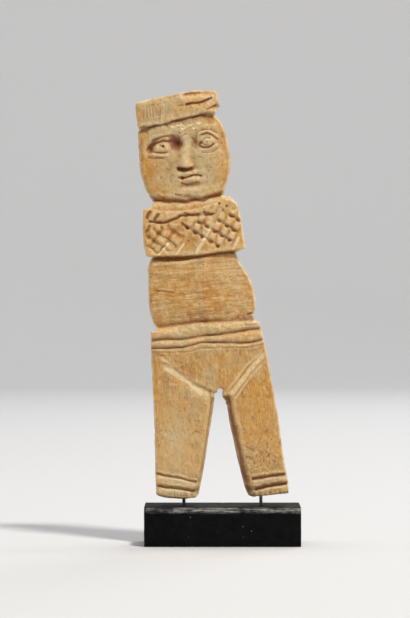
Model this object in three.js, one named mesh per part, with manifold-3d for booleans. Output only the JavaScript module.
// A carved bone doll figurine held above a black display block by two steel pins.
// Millimetres, +Z up. The origin is the middle of the block's underside. The figure faces -Y.
//
// The figurine is drawn lying in its own sheet: x runs across it, y runs up it from the feet,
// and z comes out of its front, with z = 0 in the middle of the bone plaque's thickness.
// Its mesh is then stood upright and leant over the block.
import * as THREE from 'three';
import { mergeVertices } from 'three/addons/utils/BufferGeometryUtils.js';
import Module from 'manifold-3d';

const wasm = await Module();
wasm.setup();

// Display block and pins
const BLOCK = { width: 55.4, depth: 28, height: 14, longEdge: 2.2, underEdge: 0.6, endEdge: 0.6 };
const PIN = { radius: 0.6, spread: 13.7, inBlock: 8, inFoot: 9, sides: 16 };
const CLEARANCE = 0.3;
const FOOT_LEVEL = { left: 16.3, right: 17.2 };

// Where the figure's own sheet starts, and how far the figure leans over to its right hand
const STANDS_AT = new THREE.Vector3(0.25, 0, 16.7);
const LEAN = THREE.MathUtils.degToRad(6);

// How far each carved level stands out from the middle of the plaque, and where its back is
const BACK = 4.0;
const FRONT = { hat: 4.5, face: 3.9, neck: 4.2, collar: 4.8, torso: 3.6, belt: 4.3, legs: 4.0 };

// The back is the wall of the marrow channel, so a shallow hollow runs up its middle.
const MARROW = { radius: 90, depth: 0.9 };

// Cutting tools reach well past the work on every side.
const REACH = 400;
const FACET = 1.5;

// Some fronts are crowned from side to side, by these radii. The face is domed both ways.
const CROWN = { hat: 90, collar: 160, torso: 110 };
const DOME = { across: 24, up: 22, deep: 9, middle: [-0.9, 120.5] };

// Heights of the carved bands above the soles
const HAT_EDGE = 134.2;
const JAW = 106.4;
const COLLAR_HEM = 87.0;
const BELT_TOP = 61.8;
const CROTCH = 38.7;

// ---------------------------------------------------------------- solids and booleans

function solid(geometry) {
  const bare = geometry.clone();
  bare.deleteAttribute('normal');
  bare.deleteAttribute('uv');
  const merged = mergeVertices(bare, 1e-4);
  return new wasm.Manifold(new wasm.Mesh({
    numProp: 3,
    vertProperties: new Float32Array(merged.attributes.position.array),
    triVerts: new Uint32Array(merged.index.array),
  }));
}

function geometryOf(manifold) {
  const mesh = manifold.getMesh();
  const geometry = new THREE.BufferGeometry();
  geometry.setAttribute('position', new THREE.BufferAttribute(mesh.vertProperties, 3));
  geometry.setIndex(new THREE.BufferAttribute(mesh.triVerts, 1));
  const flat = geometry.toNonIndexed();
  flat.computeVertexNormals();
  return flat;
}

const joined = (solids) => solids.reduce((whole, next) => whole.add(next));
const cut = (body, cutters) => cutters.reduce((rest, next) => rest.subtract(next), body);

// ---------------------------------------------------------------- outlines in the sheet

// Each run of an outline is a list of corners, or { bend: [...] }, the points that a smooth
// curve passes through on its way from the corner before them.
function outline(runs) {
  const shape = new THREE.Shape();
  shape.moveTo(...runs[0][0]);
  for (const run of runs) {
    if (run.bend) {
      shape.splineThru(run.bend.map(([x, y]) => new THREE.Vector2(x, y)));
    } else {
      run.forEach(([x, y]) => shape.lineTo(x, y));
    }
  }
  return shape;
}

// One band of the plaque, with its front edge eased, cut off flat at the plaque's back.
function band(runs, front, ease) {
  const overrun = 3;
  const geometry = new THREE.ExtrudeGeometry(outline(runs), {
    depth: front + BACK + overrun - ease,
    curveSegments: 2,
    bevelThickness: ease,
    bevelSize: ease,
    bevelOffset: -ease,
    bevelSegments: 2,
  });
  geometry.translate(0, 0, -BACK - overrun);
  const behind = new THREE.BoxGeometry(REACH, REACH, REACH).translate(0, 0, -BACK - REACH / 2);
  return solid(geometry).subtract(solid(behind));
}

function barrel(radius) {
  const facets = Math.round((2 * Math.PI * radius) / (2 * FACET));
  return new THREE.CylinderGeometry(radius, radius, REACH, facets);
}

// Leaves of a band only what lies inside a wide upright barrel, so its front is gently crowned.
function crowned(body, level) {
  const radius = CROWN[level];
  return body.intersect(solid(barrel(radius).translate(0, 0, FRONT[level] - radius)));
}

// How far a band's crowned or domed front stands out at one place on it.
function frontAt(level, x, y) {
  if (level === 'face') {
    const fall = ((x - DOME.middle[0]) / DOME.across) ** 2 + ((y - DOME.middle[1]) / DOME.up) ** 2;
    return FRONT.face - DOME.deep * (1 - Math.sqrt(1 - fall));
  }
  const radius = CROWN[level];
  return radius ? FRONT[level] - radius + Math.sqrt(radius ** 2 - x ** 2) : FRONT[level];
}

// ---------------------------------------------------------------- knife work

// A V cut that follows a path over the front: each stretch is a four-sided bar laid edge down.
function groove(path, width, depth, level) {
  return path.slice(1).map((end, i) => {
    const from = new THREE.Vector2(...path[i]);
    const to = new THREE.Vector2(...end);
    const run = to.clone().sub(from);
    const bar = new THREE.CylinderGeometry(1, 1, run.length() + width / 3, 4);
    bar.scale(width / 2, 1, depth);
    bar.rotateZ(run.angle() - Math.PI / 2);
    const middle = from.add(to).multiplyScalar(0.5);
    return solid(bar.translate(middle.x, middle.y, frontAt(level, middle.x, middle.y)));
  });
}

// Parallel cuts at one slant, spaced across a rectangle of the collar and stopped at its edges.
function hatch({ left, right, bottom, top }, degrees, spacing, width, depth) {
  const slant = THREE.MathUtils.degToRad(degrees);
  const rise = Math.abs(Math.tan(slant));
  const lean = (top - bottom) / rise;
  const step = spacing / Math.sin(Math.abs(slant));
  const cuts = [];
  for (let foot = left - lean + step / 2; foot < right; foot += step) {
    const start = Math.max(foot, left);
    const end = Math.min(foot + lean, right);
    const heightAt = (x) => (slant > 0 ? bottom + (x - foot) * rise : top - (x - foot) * rise);
    cuts.push(...groove([[start, heightAt(start)], [end, heightAt(end)]], width, depth, 'collar'));
  }
  return cuts;
}

// ---------------------------------------------------------------- bands, from the top down

function hat() {
  const blank = band([
    [[-16.2, HAT_EDGE], [-16.4, 141.2], [-15.9, 142.6]],
    { bend: [[-10, 143.5], [-1.8, 144.3], [4.2, 144.8], [12.6, 143.9]] },
    [[13.2, 142.2], [12.9, 140.8], [13.4, 138.5], [12.2, 137.6], [11.9, 136.4], [-1, 135.6]],
  ], FRONT.hat, 1.0);
  return cut(crowned(blank, 'hat'), groove([[1.1, 140], [7.1, 140.4], [13.6, 142.3]], 0.7, 1.2, 'hat'));
}

// The face is domed both ways: the band keeps what lies inside a flattened ball.
function head() {
  const blank = band([
    [[-15.6, HAT_EDGE + 1.5], [-16.3, 132]],
    { bend: [[-16.8, 124], [-16.9, 118], [-15.7, 111.4], [-13.4, JAW]] },
    [[-12.6, JAW - 2], [10.6, JAW - 2], [11, JAW]],
    { bend: [[13.8, 112.6], [15.2, 119], [14.6, 127.5], [13.1, 133]] },
    [[11.2, 135.4], [11, 137]],
  ], FRONT.face, 0.8);
  const ball = new THREE.SphereGeometry(1, 40, 24).scale(DOME.across, DOME.up, DOME.deep);
  return blank.intersect(solid(ball.translate(...DOME.middle, FRONT.face - DOME.deep)));
}

function neckAndCollar() {
  const neck = band([
    [[-13.4, JAW + 1], [-14, 100], [13.6, 100], [13.6, 105.4], [11, JAW + 1]],
  ], FRONT.neck, 1.4);
  const collar = band([
    [[-17.1, 104.9], [-17.9, 99.8], [-18.5, 93.5], [-18.1, 88]],
    { bend: [[-6.5, COLLAR_HEM], [2.4, COLLAR_HEM - 0.4], [17.1, COLLAR_HEM + 0.2]] },
    [[16.7, 94], [16.3, 100.5], [15.8, 103.4], [14.2, 104.6], [0, 103.6]],
  ], FRONT.collar, 0.8);
  return neck.add(crowned(collar, 'collar'));
}

function torso() {
  const blank = band([
    [[-15, COLLAR_HEM + 2], [-16.2, COLLAR_HEM], [-17.9, 83.7]],
    { bend: [[-18.6, 77], [-18.9, 70], [-18.1, 64.4], [-17.1, BELT_TOP - 1]] },
    [[17.3, BELT_TOP - 1]],
    { bend: [[18.4, 64.6], [18.9, 69], [18.3, 74], [16.1, 80], [14.5, 83]] },
    [[13.7, COLLAR_HEM], [13.5, COLLAR_HEM + 2]],
  ], FRONT.torso, 0.9);
  return crowned(blank, 'torso');
}

function belt() {
  return band([
    [[-17.2, BELT_TOP + 0.3], [-19, BELT_TOP - 0.6], [-19.8, 54.6], [-6.7, 52.8], [20.3, 52.4]],
    [[19.4, 60.6], [17.7, BELT_TOP - 0.3], [-2, BELT_TOP + 0.7]],
  ], FRONT.belt, 0.6);
}

function hipsAndLegs() {
  const blank = band([
    [[-19, BELT_TOP - 1.2]],
    { bend: [[-20, 52.8], [-21, 35], [-22.1, 20], [-23.4, 3.7]] },
    [[-23, 3.3], [-20.5, 2.2], [-14.4, 1.1], [-10, 1.1], [-8.7, 2.1]],
    { bend: [[-6.6, 8.3], [-3.7, 17.8], [-1.6, 27.2], [0.6, 37.3]] },
    [[4, 37.3]],
    { bend: [[5, 32.5], [5.8, 22], [6.9, 12], [8.2, 3.4], [9.2, -0.1]] },
    [[10.7, -0.8], [23.4, -0.8], [23.6, 3]],
    { bend: [[22.8, 20], [21.6, 39], [20.6, 51.7], [19.6, BELT_TOP - 1.2]] },
  ], FRONT.legs, 0.7);
  const notch = new THREE.BoxGeometry(2.2, 3, 20).translate(3, CROTCH - 1.5, 0);
  return blank.subtract(solid(notch));
}

// ---------------------------------------------------------------- carving

// The nose is a long four-sided pyramid lying on the face, cut off square below.
function nose() {
  const [top, tip] = [128.2, 117.6];
  const pyramid = new THREE.ConeGeometry(1, top - tip, 4);
  pyramid.scale(3.2, 1, 1.3);
  return solid(pyramid.translate(-0.8, (top + tip) / 2, FRONT.face - 0.1));
}

// A hollow in the face with a low almond eyeball standing in it.
function eyeHollow([x, y]) {
  const hollow = new THREE.SphereGeometry(1, 14, 8);
  return solid(hollow.scale(4.4, 2.4, 1.2).translate(x, y, frontAt('face', x, y)));
}

function eyeball([x, y]) {
  const ball = new THREE.SphereGeometry(1, 14, 8);
  return solid(ball.scale(3.1, 1.4, 1.5).translate(x, y, frontAt('face', x, y) - 1.3));
}

function faceCuts() {
  const lidWidth = 0.8;
  const brows = [
    [[-12.8, 128.4], [-9.9, 129.4], [-5.5, 129.8]],
    [[3.9, 129.6], [7.4, 130.4], [11.4, 128.9]],
  ];
  const lips = [
    [[-3.8, 114.5], [-0.8, 114.4], [1, 115], [4.2, 114.4]],
    [[-2.6, 112.2], [0, 111.4], [3.2, 112.2]],
  ];
  const chin = [[-5.5, 108.9], [-3, 107.9], [0.6, 107.8]];
  return [
    ...brows.flatMap((brow) => groove(brow, lidWidth, 0.5, 'face')),
    ...groove(lips[0], 1.2, 0.8, 'face'),
    ...groove(lips[1], 0.9, 0.5, 'face'),
    ...groove(chin, 0.9, 0.6, 'face'),
  ];
}

function bandEdges() {
  const hatEdge = [[-17, HAT_EDGE - 0.8], [-11.6, HAT_EDGE - 0.4], [-0.5, 135.1], [6.7, 135.9], [13, 135.9]];
  const jawEdge = [[-15, 107.6], [-8.7, 106.4], [-1.5, 105.7], [4, 105.7], [13, 107]];
  return [
    ...groove(hatEdge, 1.4, 1.6, 'hat'),
    ...groove(jawEdge, 1.6, 0.9, 'neck'),
  ];
}

function collarCuts() {
  const wide = { left: -16.4, right: -1.5, bottom: 88.2, top: 99 };
  const fine = { left: 2.5, right: 15.4, bottom: 88.6, top: 103 };
  const crack = [[-17, 100.3], [-10.8, 99.2], [-4.2, 100.9], [8, 100.5]];
  return [
    ...groove(crack, 0.9, 0.9, 'collar'),
    ...hatch(wide, 57, 5, 1.0, 0.6),
    ...hatch(wide, -41, 4.8, 1.0, 0.6),
    ...hatch(fine, 62, 3.4, 1.0, 0.6),
    ...hatch(fine, -31, 3.9, 1.0, 0.6),
  ];
}

function beltCuts() {
  const upper = [[-20, 58.3], [-8, 57.6], [2, 57.7], [9, 58.1], [20.4, 58.9]];
  const lower = [[-20.5, 55.5], [-8.7, 54.5], [-1.6, 55.4], [13, 53.7], [21, 54.1]];
  return [upper, lower].flatMap((line) => groove(line, 1.4, 1.0, 'belt'));
}

// Two long slanting cuts on each side run from the hips down towards the crotch.
function hipCuts() {
  const left = [
    [[-15.3, 51.6], [-11.8, 47.6], [0.2, 37]],
    [[-17.4, 49.6], [-10.2, 44.2], [-1.2, 36.2]],
  ];
  const right = [
    [[19.8, 50], [14, 45.5], [5.2, 36.6]],
    [[19.6, 47.4], [15.2, 43.2], [7, 34.6]],
  ];
  return [...left, ...right].flatMap((line) => groove(line, 1.1, 0.6, 'legs'));
}

function ankleCuts() {
  const left = [
    [[-23.4, 11.3], [-13.6, 8.1], [-7.2, 6.2]],
    [[-23.6, 6.9], [-15, 4.8], [-8.6, 3.1]],
  ];
  const right = [
    [[8, 5.7], [14.6, 5.5], [24, 5.8]],
    [[8.6, 1.5], [17, 2.3], [24.2, 2.7]],
  ];
  return [...left, ...right].flatMap((line) => groove(line, 1.0, 0.7, 'legs'));
}

function marrowHollow() {
  const { radius, depth } = MARROW;
  return solid(barrel(radius).translate(0, 0, depth - BACK - radius));
}

// The inner edge of one leg was pared away in a wide slope, the other in a narrow one.
function legBevels() {
  const wide = [[4.6, 34], [5.8, 22], [6.9, 12], [9.2, -1.5]];
  const narrow = [[0.4, 35], [-3.7, 17.8], [-9.2, 0]];
  return [...groove(wide, 5.4, 1.8, 'legs'), ...groove(narrow, 2.6, 1.2, 'legs')];
}

// ---------------------------------------------------------------- the pieces

function pinSpan(side) {
  return { low: BLOCK.height - PIN.inBlock, high: FOOT_LEVEL[side] + PIN.inFoot };
}

function pinRod(side, spare) {
  const { low, high } = pinSpan(side);
  const length = high - low + 2 * spare;
  const x = side === 'left' ? -PIN.spread : PIN.spread;
  const rod = new THREE.CylinderGeometry(PIN.radius + spare, PIN.radius + spare, length, PIN.sides);
  return rod.rotateX(Math.PI / 2).translate(x, 0, (low + high) / 2);
}

function figurine() {
  const mesh = new THREE.Mesh(undefined, new THREE.MeshStandardMaterial({
    color: 0xbe965f, roughness: 0.45, metalness: 0,
  }));
  mesh.name = 'figurine';
  mesh.position.copy(STANDS_AT);
  mesh.rotation.set(Math.PI / 2, 0, LEAN);
  mesh.updateMatrix();

  const eyes = [[-9, 125.6], [8.2, 126.4]];
  const face = cut(head(), eyes.map(eyeHollow));
  const features = [nose(), ...eyes.map(eyeball)];
  const blank = joined([hat(), face, ...features, neckAndCollar(), torso(), belt(), hipsAndLegs()]);
  const carving = [faceCuts(), bandEdges(), collarCuts(), beltCuts(), hipCuts(), ankleCuts()];
  const cuts = [...carving, ...legBevels(), marrowHollow()];
  const upright = mesh.matrix.clone().invert();
  const pinHoles = ['left', 'right'].map((side) => solid(pinRod(side, CLEARANCE).applyMatrix4(upright)));
  mesh.geometry = geometryOf(cut(blank, [...cuts.flat(), ...pinHoles]));
  return mesh;
}

// The block's section, seen from its end, is drawn once and run along its width.
function standBlock() {
  const { width, depth, height, longEdge, underEdge, endEdge } = BLOCK;
  const half = depth / 2;
  const section = new THREE.Shape();
  section.moveTo(-half + underEdge, 0);
  section.lineTo(half - underEdge, 0);
  section.lineTo(half, underEdge);
  section.absarc(half - longEdge, height - longEdge, longEdge, 0, Math.PI / 2, false);
  section.absarc(-half + longEdge, height - longEdge, longEdge, Math.PI / 2, Math.PI, false);
  section.lineTo(-half, underEdge);
  const run = new THREE.ExtrudeGeometry(section, {
    depth: width - 2 * endEdge,
    curveSegments: 6,
    bevelThickness: endEdge,
    bevelSize: endEdge,
    bevelOffset: -endEdge,
    bevelSegments: 2,
  });
  run.translate(0, 0, -width / 2 + endEdge);
  const [across, back, up] = [0, 1, 2].map((i) => new THREE.Vector3().setComponent(i, 1));
  run.applyMatrix4(new THREE.Matrix4().makeBasis(back, up, across));

  const pinHoles = ['left', 'right'].map((side) => solid(pinRod(side, CLEARANCE)));
  const material = new THREE.MeshStandardMaterial({ color: 0x121214, roughness: 0.25, metalness: 0 });
  const mesh = new THREE.Mesh(geometryOf(cut(solid(run), pinHoles)), material);
  mesh.name = 'stand_block';
  return mesh;
}

function pin(side) {
  const steel = new THREE.MeshStandardMaterial({ color: 0x2a2a2c, roughness: 0.4, metalness: 0.9 });
  const mesh = new THREE.Mesh(pinRod(side, 0), steel);
  mesh.name = `pin_${side}`;
  return mesh;
}

const object = new THREE.Group();
object.add(standBlock(), pin('left'), pin('right'), figurine());
export default object;
